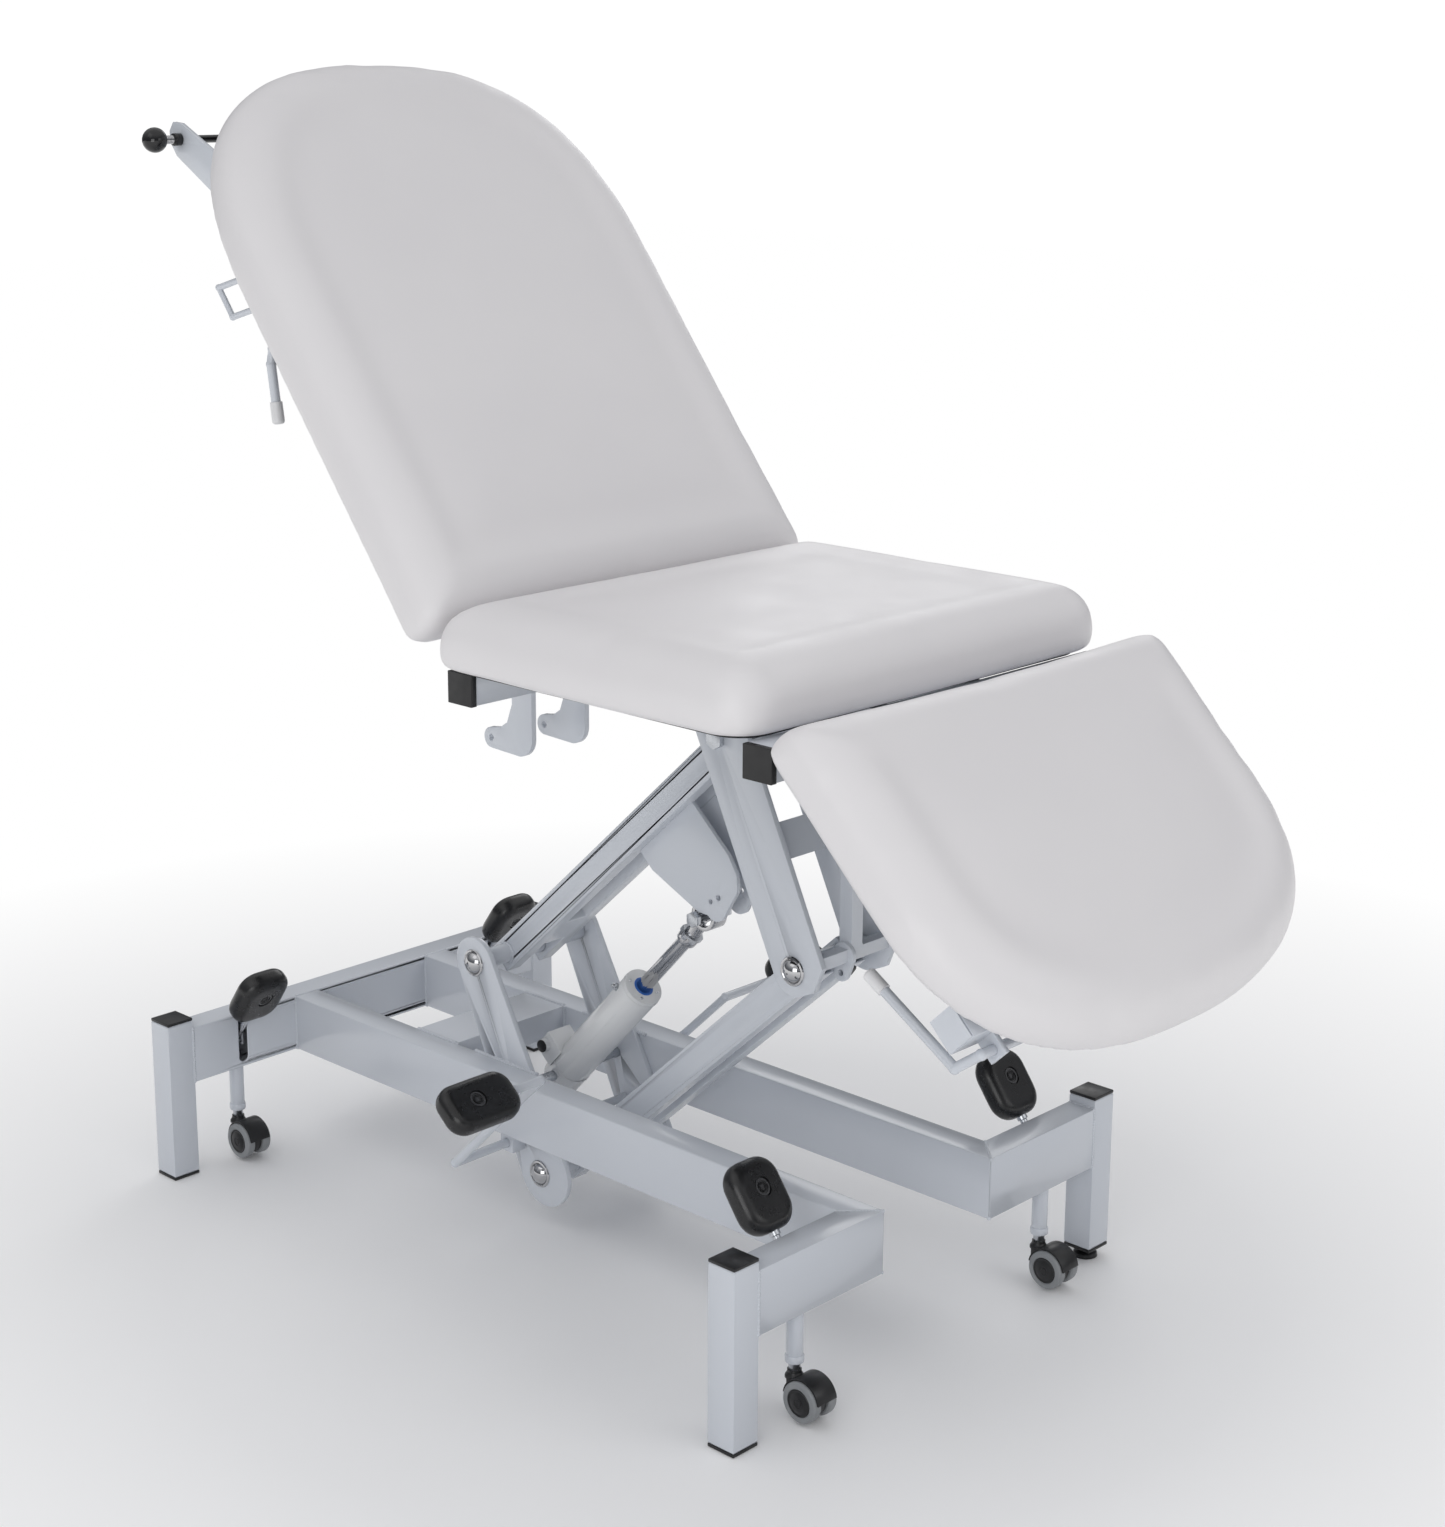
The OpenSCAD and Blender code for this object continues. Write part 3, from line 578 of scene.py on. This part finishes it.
def rubber(name, w, length, thick, place, body, node):
    """w across x, length along y, centred; the rings sit on both faces."""
    def face(depth, out):
        soft = thick / 2 - shoulder(depth, thick * 0.42)
        recess = np.where(out < 0.0118, 0.0026, 0.0)
        ring = np.where((out > 0.0035) & (out < 0.0062), 0.0014, 0.0)
        ring = ring + np.where((out > 0.0082) & (out < 0.0102), 0.0014, 0)
        return soft - recess + ring

    rings = [0.0018, 0.0034, 0.0037, 0.006, 0.0063, 0.008, 0.0083, 0.0101, 0.0104, 0.0116, 0.012, 0.0135]
    shares = [0.12, 0.28, 0.44, 0.58, 0.7, 0.8, 0.88, 0.94, 0.975, 0.993, 1.0]
    outline = rubber_outline(w, length, w * 0.36)
    part = pad(outline, (0.0, length * 0.08), shares, face, lambda d, o: -face(d, o), rings)
    obj = piece(name, part, black_rubber, body, place)
    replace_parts(obj, node)
    disc = lathe([(0.0, 0.0), (0.0034, 0.0), (0.0037, 0.0012), (0.0058, 0.0012), (0.0061, 0.0), (0.0078,
        0.0),
                  (0.0081, 0.0014), (0.0102, 0.0014), (0.0105, 0.0), (0.0113, 0.0), (0.0113,
                  -0.001), (0.0, -0.001)], 40)
    # the ring discs carry the lighter grey painted highlight
    for k, turn in enumerate((0.0, math.pi)):
        spot = Matrix.Translation((0, length * 0.08, 0)) @ Matrix.Rotation(turn, 4, "Y")
        spot = place @ spot @ Matrix.Translation((0, 0, thick / 2 - 0.0024))
        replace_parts(piece(name + "_rings_%d" % k, disc, ring_grey, body, spot), node)
    return obj


CORNERS = {"head_left": (-1, 0.712, -1), "head_right": (1, 0.712, -1),
           "foot_left": (-1, -0.346, 1), "foot_right": (1, -0.346, 1)}
CASTOR_X = 0.232

# %% [markdown]
# Each castor has a foot lever on a short zinc rod. It turns about a pin inside the beam, so its frame
# starts at that pin.

# %% Castor levers
for corner, (sx, y, way) in CORNERS.items():
    body, node = "lever_" + corner, "castor_lever_" + corner
    lean = Matrix.Translation((sx * CASTOR_X, y, 0.168))
    lean = lean @ Matrix.Rotation(0.0 if way > 0 else math.pi, 4, "Z")
    lean = lean @ Matrix.Rotation(math.radians(54), 4, "X")
    rubber("lever_pad_" + corner, 0.075, 0.087, 0.0315, lean @ Matrix.Translation((0, 0.101, 0)), body,
        node)
    along = lean @ Matrix.Rotation(math.radians(-90), 4, "X")
    rod = lathe([(0.0, 0.004), (0.0048, 0.004), (0.0048, 0.052), (0.0068, 0.053), (0.0068, 0.062), (0.0,
        0.062)], 24)
    boss = moved(lathe([(0.0031, -0.005), (0.0078, -0.005), (0.0078, 0.005), (0.0031, 0.005)], 28),
                 lean @ Matrix.Rotation(math.radians(90), 4, "Y"))
    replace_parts(piece("lever_rod_" + corner, moved(rod, along), zinc, body), node)
    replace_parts(piece("lever_boss_" + corner, boss, zinc, body), node)

# %% [markdown]
# The two pedal pads are the same moulding as the lever pads, longer and turned across the bar.

# %% Pump pedal pads
for name, x, y, z in (("left", -0.317, 0.097, 0.277), ("right", 0.317, 0.140, 0.274)):
    place = Matrix.Translation((x, y, z)) @ Matrix.Rotation(math.radians(40), 4, "X")
    place = place @ Matrix.Rotation(math.pi / 2, 4, "Z")
    rubber("pedal_pad_" + name, 0.065, 0.109, 0.0315, place, "pedal", "pedal_pads")
print("rubber pads: 6")

# %% [markdown]
# A twin castor is two tyres on two hubs with an axle between. Tyre and hub are separate pieces because
# they are separate mouldings in two colours.

# %% Castor wheels, collars and necks
for corner, (sx, y, way) in CORNERS.items():
    wheel, swivel = "wheel_" + corner, "swivel_" + corner
    centre = (sx * CASTOR_X, y - 0.024, 0.028)
    for side in (-1, 1):
        place = towards(centre, (side, 0, 0))
        tag = corner + ("_a" if side < 0 else "_b")
        tyre = lathe([(0.0168, 0.0065), (0.0215, 0.0065)] + arc(0.0215, 0.01, 0.0035, -90, 0)
                     + arc(0.0215, 0.0165, 0.0035, 0, 90) + [(0.018, 0.0205), (0.0168, 0.0195)], 56)
        tyre = (tyre[0], [f for f in tyre[1] if len(f) < 10])
        hub = lathe([(0.0, 0.0065), (0.0168, 0.0065), (0.0168, 0.0195), (0.0158, 0.0203), (0.0145,
            0.0198), (0.013, 0.0198),
                     (0.0115, 0.0208), (0.006, 0.0212), (0.0052, 0.0206), (0.0042, 0.0206), (0.0036,
                     0.0213),
                     (0.0, 0.0214)], 56)
        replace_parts(piece("castor_tyre_" + tag, tyre, tread, wheel, place),
            "castor_wheel_" + corner)
        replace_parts(piece("castor_hub_" + tag, hub, black_plastic, wheel, place),
                    "castor_wheel_" + corner)
    axle = lathe([(0.0, -0.0066), (0.0029, -0.0066), (0.0029, 0.0066), (0.0, 0.0066)], 20)
    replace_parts(piece("castor_axle_" + corner, axle, zinc, wheel, towards(centre, (1, 0, 0))),
                "castor_wheel_" + corner)
    top = Matrix.Translation((sx * CASTOR_X, y, 0))
    collar = lathe([(0.0071, 0.0655), (0.0108, 0.0655), (0.0112, 0.067), (0.0112, 0.073), (0.0104,
        0.0745), (0.0071, 0.0745)])
    piece("guide_collar_" + corner, collar, frame_paint, "base", top)
    skirt = lathe([(0.0056, 0.0455), (0.0112, 0.0458)] + arc(0.0092, 0.0478, 0.002, -20, 60, 4)
                  + [(0.0082, 0.0535), (0.0075, 0.0556), (0.0056, 0.0556)])
    piece("neck_cover_" + corner, skirt, black_plastic, swivel, top)
print("castors: 4")

# %% [markdown]
# ## Hydraulic cylinder, levers and bolts


# %% Small fasteners
def hexagon(across, height, domed=0.0):
    """A hexagonal head or nut standing on z = 0, with chamfered corners."""
    r = across / math.sqrt(3)
    c = 0.0012
    return lathe([(0.0, 0.0), (r, 0.0), (r, height - c), (r - c * 1.4, height), (r * 0.5, height + domed),
        (0.0, height + domed)], 6)


def screw(r, height):
    return lathe([(0.0, 0.0), (r, 0.0), (r, height * 0.6), (r * 0.85, height), (r * 0.45, height),
        (r * 0.4, height * 0.4),
                  (0.0, height * 0.4)], 24)


def bolt(name, origin, axis, body, across=0.013, height=0.0055, mat=None):
    """A washer with a hexagonal head on it."""
    washer = lathe([(0.0, 0.0), (across * 0.82, 0.0), (across * 0.82, 0.0012), (0.0, 0.0014)], 32)
    part = joined([washer, moved(hexagon(across, height, 0.0004), Matrix.Translation((0, 0, 0.0011)))])
    return piece(name, part, mat or zinc, body, towards(origin, axis))


# %% [markdown]
# The end face and the seal are kept thin, because the clamp nut on the rod comes within a few millimetres
# of them when the lift is down.

# %% Trim of the cylinder
foot, axis = Vector((0, 0.277, 0.178)), Vector((0, 0.013 - 0.277, 0.462 - 0.178)).normalized()
end_face = towards(foot + axis * 0.214, axis)
face = lathe([(0.0102, 0.0), (0.0262, 0.0), (0.0263, 0.0003), (0.0256, 0.0007), (0.0102, 0.0007)], 64)
piece("barrel_end", face, cylinder_paint, "cylinder", end_face)
seal = lathe([(0.0103, 0.0006), (0.0138, 0.0006), (0.0138, 0.001), (0.0134, 0.0013), (0.0108, 0.0013),
    (0.0103, 0.001)], 48)
piece("rod_seal", seal, blue_seal, "cylinder", end_face)
screws = [moved(screw(0.0022, 0.001), Matrix.Translation((0.0202 * math.cos(a), 0.0202 * math.sin(a),
    0.0006)))
          for a in (math.radians(45 + 90 * k) for k in range(4))]
piece("barrel_screws", joined(screws), zinc, "cylinder", end_face)
for k, back in enumerate((0.006, 0.2)):
    band = lathe([(0.0272, -0.0012), (0.0277, -0.0008), (0.0277, 0.0008), (0.0272, 0.0012)], 64)
    piece("barrel_band_%d" % k, (band[0], [f for f in band[1] if len(f) < 10]), cylinder_paint, "cylinder",
          towards(foot + axis * (0.214 - back), axis))
fitting = joined([hexagon(0.009, 0.005), moved(screw(0.0032, 0.004), Matrix.Translation((0, 0, 0.005)))])
side_way = (Vector((-1, 0, 0)) + axis.cross(Vector((1, 0, 0)))).normalized()
piece("barrel_fitting", fitting, zinc, "cylinder", towards(foot + axis * 0.192 + side_way * 0.0266,
    side_way))
dial = lathe([(0.0, 0.0), (0.0085, 0.0), (0.0085, 0.0016), (0.0074, 0.0024), (0.0, 0.0024)], 40)
across = axis.cross(Vector((1, 0, 0)))
valve = foot + axis * 0.019 + across * (0.038 if across.y > 0 else -0.038)
piece("valve_button", dial, black_plastic, "cylinder", towards(valve + Vector((-0.033, 0, 0)), (-1, 0,
    0)))
clamp = foot + axis * (math.dist((0.277, 0.178), (0.013, 0.462)) - 0.0510)
nut = lathe([(0.0102, 0.001), (0.0155, 0.001), (0.0158, 0.002), (0.0158, 0.009), (0.0155, 0.01), (0.0102,
    0.01)], 6)
piece("clamp_nut", nut, zinc, "piston", towards(clamp, axis))
print("cylinder trim: 9 pieces")

# %% [markdown]
# Small parts tell the eye how big the couch is: plastic tips on the levers, threaded necks behind the
# knobs, and bolt heads on washers.

# %% Lever tips, knob necks, bolts
tip = back_frame @ Vector((-0.3, 0.347, -0.069))
way = (back_frame.to_3x3() @ Vector((0, -0.063, -0.035))).normalized()
cap = lathe([(0.0062, -0.026), (0.0078, -0.0255), (0.0079, -0.004)] + arc(0.0039, -0.002, 0.004, 0, 90,
    5) + [(0.0, 0.002)], 28)
piece("backrest_lever_tip", cap, pale_plastic, "backrest_release", towards(tip, way))
tip = leg_frame @ Vector((-0.258, -0.244, -0.098))
way = (leg_frame.to_3x3() @ Vector((0, 0.136, -0.032))).normalized()
piece("leg_lever_tip", cap, pale_plastic, "leg_release", towards(tip, way))
for side in (-1, 1):
    tag = "left" if side < 0 else "right"
    origin = back_frame @ Vector((side * 0.272, 0.759, -0.05))
    ridges = [(0.0056 if k % 2 else 0.0049, 0.001 + 0.0011 * k) for k in range(11)]
    thread = [(0.005, 0.0)] + ridges + [(0.005, 0.0128)]
    piece("knob_neck_" + tag, lathe(thread, 28), chrome, "roll", towards(origin, (side, 0, 0)))
bolt("clevis_nut", (-0.010, -0.220, 0.447), (1, 0, 0), "seat_carriage", 0.013, 0.0048)
cone = lathe([(0.0, 0.0), (0.0075, 0.0), (0.0075, 0.003), (0.003, 0.0145), (0.0, 0.015)], 32)
piece("clevis_cone", cone, black_plastic, "seat_carriage", towards((-0.0045, -0.220, 0.447), (1, 0, 0)))
hinge = Vector(joints["backrest_tilt"]["pos_m"])
for side in (-1, 1):
    tag = "left" if side < 0 else "right"
    x = side * 0.162
    bolt("hinge_nut_" + tag, (x, hinge.y, hinge.z), (side, 0, 0), "seat_carriage")
for side in (-1, 1):
    tag = "left" if side < 0 else "right"
    bolt("axle_bolt_" + tag, (side * 0.1, 0.277, 0.178), (side, 0, 0), "base", 0.017, 0.007)
for side in (-1, 1):
    tag = "left" if side < 0 else "right"
    plug = []
    for x, half in ((0.2795, 0.0165), (0.2825, 0.0195)):
        plug += [(side * x, -0.351 + a * half, -0.020 + b * half) for a, b in ((-1, -1), (1, -1), (1, 1),
            (-1, 1))]
    sides = [(k, (k + 1) % 4, 4 + (k + 1) % 4, 4 + k) for k in range(4)]
    piece("leg_tube_plug_" + tag, (plug, sides + [(0, 1, 2, 3), (4, 5, 6, 7)]), frame_paint,
        "leg_section", leg_frame)
# from one pivot of a lift arm to the other, at rest
ARM = Vector((0, -0.565 * math.cos(math.radians(42.4)), 0.565 * math.sin(math.radians(42.4))))
# a turned flange under each chrome dome
flange = lathe([(0.0145, 0.0), (0.0182, 0.0), (0.0186, 0.0008), (0.0178, 0.0019), (0.0158, 0.0024),
    (0.0145, 0.0016)], 48)
flange = (flange[0], [f for f in flange[1] if len(f) < 10])
upper, lower = Vector(joints["lift"]["pos_m"]), Vector(joints["lower_arm_turn"]["pos_m"])
for label, body, x, at in (("upper", "base", 0.1, upper), ("lower", "base", 0.1, lower),
                           ("link", "seat_carriage", 0.07, lower + ARM)):
    for side in (-1, 1):
        tag = "left" if side < 0 else "right"
        piece("dome_flange_%s_%s" % (label, tag), flange, chrome, body, towards((side * x, at.y, at.z),
            (side, 0, 0)))
print("levers and bolts ready")

# %% [markdown]
# ## Welds
# A hand-made weld is a low rippled bead under the paint. Beads run along the corners where tubes meet.


# %% Weld beads
def weld(name, body, *runs, radius=0.0026):
    parts = []
    for start, end in runs:
        start, end = Vector(start), Vector(end)
        n = max(6, int((end - start).length / 0.0011))
        path = [start.lerp(end, i / n) for i in range(n + 1)]
        swell = [radius * (0.86 + 0.14 * math.sin(i * 1.9) + 0.05 * math.sin(i * 0.7 + 1)) for i in range(n + 1)]
        swell[0] = swell[-1] = radius * 0.5
        parts.append(bar(path, swell, 8))
    return piece(name, joined(parts), frame_paint, body)


TOP, LOW = 0.214, 0.134
for side in (-1, 1):
    tag = "left" if side < 0 else "right"
    runs = []
    for y0, y1 in ((-0.366, -0.326), (0.692, 0.732)):
        x = side * 0.315
        runs += [((x, y0 + 0.001, LOW), (x, y0 + 0.001, TOP)), ((x, y1 - 0.001, LOW), (x, y1 - 0.001, TOP)),
                 ((x, y0, TOP - 0.001), (x, y1, TOP - 0.001)), ((x, y0, LOW + 0.001), (x, y1, LOW + 0.001))]
    weld("post_welds_" + tag, "base", *runs)
    runs = [((side * x, 0.692, LOW), (side * x, 0.692, TOP)) for x in (0.1005, 0.1395)]
    runs += [((side * 0.1, 0.692, z), (side * 0.14, 0.692, z)) for z in (LOW + 0.0008, TOP - 0.0008)]
    runs += [((side * 0.1, -0.366, z), (side * 0.14, -0.326, z)) for z in (LOW + 0.0012, TOP - 0.0012)]
    runs += [((side * 0.14, -0.326, LOW), (side * 0.14, -0.326, TOP))]
    weld("rail_welds_" + tag, "base", *runs, radius=0.0024)
    runs = [((side * 0.1, 0.39, TOP - 0.0005), (side * 0.1, 0.47, TOP - 0.0005)),
             ((side * 0.1, 0.39, TOP), (side * 0.1, 0.39, 0.174)), ((side * 0.1, 0.47, TOP), (side * 0.1,
             0.47, 0.174))]
    runs += [((side * 0.1, 0.228, TOP), (side * 0.1, 0.352, TOP))]
    weld("bracket_welds_" + tag, "base", *runs, radius=0.003)
print("weld beads ready")


# %% [markdown]
# A sleeve is welded to its tube all the way round, so these beads are closed rings.

# %% Welds round the arm sleeves and along the carriage
def ring_weld(centre, x, r, radius=0.0022):
    path = [Vector((x, centre[0] + r * math.cos(a), centre[1] + r * math.sin(a)))
            for a in (2 * math.pi * i / 60 for i in range(61))]
    return bar(path, [radius * (0.88 + 0.12 * math.sin(i * 1.7)) for i in range(61)], 8)


for arm, body, joint in (("upper", "upper_arm", "lift"), ("lower", "lower_arm", "lower_arm_turn")):
    pivot = Vector(joints[joint]["pos_m"])
    far = pivot + ARM
    rings = [ring_weld((p.y, p.z), s * 0.0425, 0.0135) for p in (pivot, far) for s in (-1, 1)]
    piece(arm + "_arm_welds", joined(rings), frame_paint, body)
runs = [((s * 0.0620, -0.232, z), (s * 0.0620, -0.216, z)) for s in (-1, 1) for z in (0.463, 0.479)]
runs += [((s * 0.0620, y, 0.463), (s * 0.0620, y, 0.479)) for s in (-1, 1) for y in (-0.232, -0.216)]
runs += [((x, -0.232, 0.479), (x, -0.212, 0.479)) for x in (-0.01, 0.01)]
weld("carriage_welds", "seat_carriage", *runs, radius=0.002)
runs = [((s * x, 0.1465, 0.771), (s * x, 0.1465, 0.806)) for s in (-1, 1) for x in (0.0435, 0.0515)]
weld("hook_welds", "seat_carriage", *runs, radius=0.0022)
print("sleeve and carriage welds ready")

# %% [markdown]
# ## Stage, light and camera
# A pale floor under a white sky, one large soft key light from the upper left, a weaker fill and a rim
# light.

# %% Stage
bpy.ops.mesh.primitive_plane_add(size=30, location=(0, 0, -0.0005))
floor = bpy.context.object
floor.name = "floor"
floor_mat, floor_shader = finish("floor", (0.94, 0.94, 0.945), 0.8, Specular_IOR_Level=0.1)
floor.data.materials.append(floor_mat)
# it glows to plain white away from the couch, so no horizon shows
tree = floor_mat.node_tree
where = tree.nodes.new("ShaderNodeTexCoord")
reach = tree.nodes.new("ShaderNodeVectorMath")
reach.operation = "LENGTH"
tree.links.new(where.outputs["Object"], reach.inputs[0])
fade = tree.nodes.new("ShaderNodeMapRange")
fade.inputs["From Min"].default_value, fade.inputs["From Max"].default_value = 0.7, 2.0
tree.links.new(reach.outputs["Value"], fade.inputs["Value"])
glow = tree.nodes.new("ShaderNodeEmission")
both = tree.nodes.new("ShaderNodeMixShader")
tree.links.new(fade.outputs["Result"], both.inputs["Fac"])
tree.links.new(floor_shader.outputs["BSDF"], both.inputs[1])
tree.links.new(glow.outputs["Emission"], both.inputs[2])
tree.links.new(both.outputs["Shader"], tree.nodes["Material Output"].inputs["Surface"])

# a white studio that is darker near the horizon, so that chrome and gloss paint have something to reflect
world = bpy.data.worlds.new("studio")
bpy.context.scene.world = world
world.use_nodes = True
tree = world.node_tree
sky = tree.nodes["Background"]
path = tree.nodes.new("ShaderNodeLightPath")
where = tree.nodes.new("ShaderNodeTexCoord")
height = tree.nodes.new("ShaderNodeSeparateXYZ")
bands = tree.nodes.new("ShaderNodeValToRGB")
mix = tree.nodes.new("ShaderNodeMix")
mix.data_type = "RGBA"
tree.links.new(where.outputs["Generated"], height.inputs["Vector"])
tree.links.new(height.outputs["Z"], bands.inputs["Fac"])
stops = bands.color_ramp.elements
stops[0].position, stops[0].color = 0.0, (0.10, 0.105, 0.115, 1)
stops[1].position, stops[1].color = 0.75, (0.88, 0.88, 0.89, 1)
middle = stops.new(0.3)
middle.color = (0.27, 0.28, 0.30, 1)
tree.links.new(path.outputs["Is Camera Ray"], mix.inputs["Factor"])
tree.links.new(bands.outputs["Color"], mix.inputs["A"])
mix.inputs["B"].default_value = (1.07, 1.07, 1.07, 1)
tree.links.new(mix.outputs["Result"], sky.inputs["Color"])
sky.inputs["Strength"].default_value = 0.95
bpy.context.scene.view_settings.view_transform = "Standard"


# %% [markdown]
# Large area lights give soft edges. The side light is the main one for the upright faces; the key is
# weak, because the seat already faces the sky.

# %% Lights
def area(name, at, to, power, size, tall):
    light = bpy.data.lights.new(name, "AREA")
    light.energy, light.shape, light.size, light.size_y = power, "RECTANGLE", size, tall
    obj = bpy.data.objects.new(name, light)
    obj.location = at
    obj.rotation_euler = (Vector(to) - Vector(at)).to_track_quat("-Z", "Y").to_euler()
    bpy.context.scene.collection.objects.link(obj)
    return obj


area("key", (-2.6, 0.6, 3.4), (0, 0, 0.7), 5, 2.2, 1.8)
area("fill", (0.8, -3.6, 1.8), (0, -0.2, 0.6), 14, 2.5, 1.5)
area("side", (-3.4, -1.6, 1.3), (0, 0.1, 0.8), 30, 2.2, 1.8)
area("rim", (2.8, 1.8, 2.2), (0, 0.2, 0.7), 12, 1.6, 1.6)

# %% [markdown]
# A long lens from a little above seat height keeps the posts nearly upright. The small shift places the
# couch in the frame.

# %% Camera
camera = bpy.data.cameras.new("camera")
camera.sensor_width = 36
camera.lens = 61.66
camera.shift_x, camera.shift_y = 0.0012, -0.0426
view = bpy.data.objects.new("camera", camera)
az, el, distance = math.radians(-46.549), math.radians(13.913), 3.2202
target = Vector((0, -0.005, 0.7457))
back = Vector((math.sin(az) * math.cos(el), -math.cos(az) * math.cos(el), math.sin(el)))
view.location = target + back * distance
view.rotation_euler = (-back).to_track_quat("-Z", "Y").to_euler()
view.rotation_euler.rotate_axis("Z", math.radians(0.264))
bpy.context.scene.collection.objects.link(view)
bpy.context.scene.camera = view
print("camera at", [round(v, 3) for v in view.location])
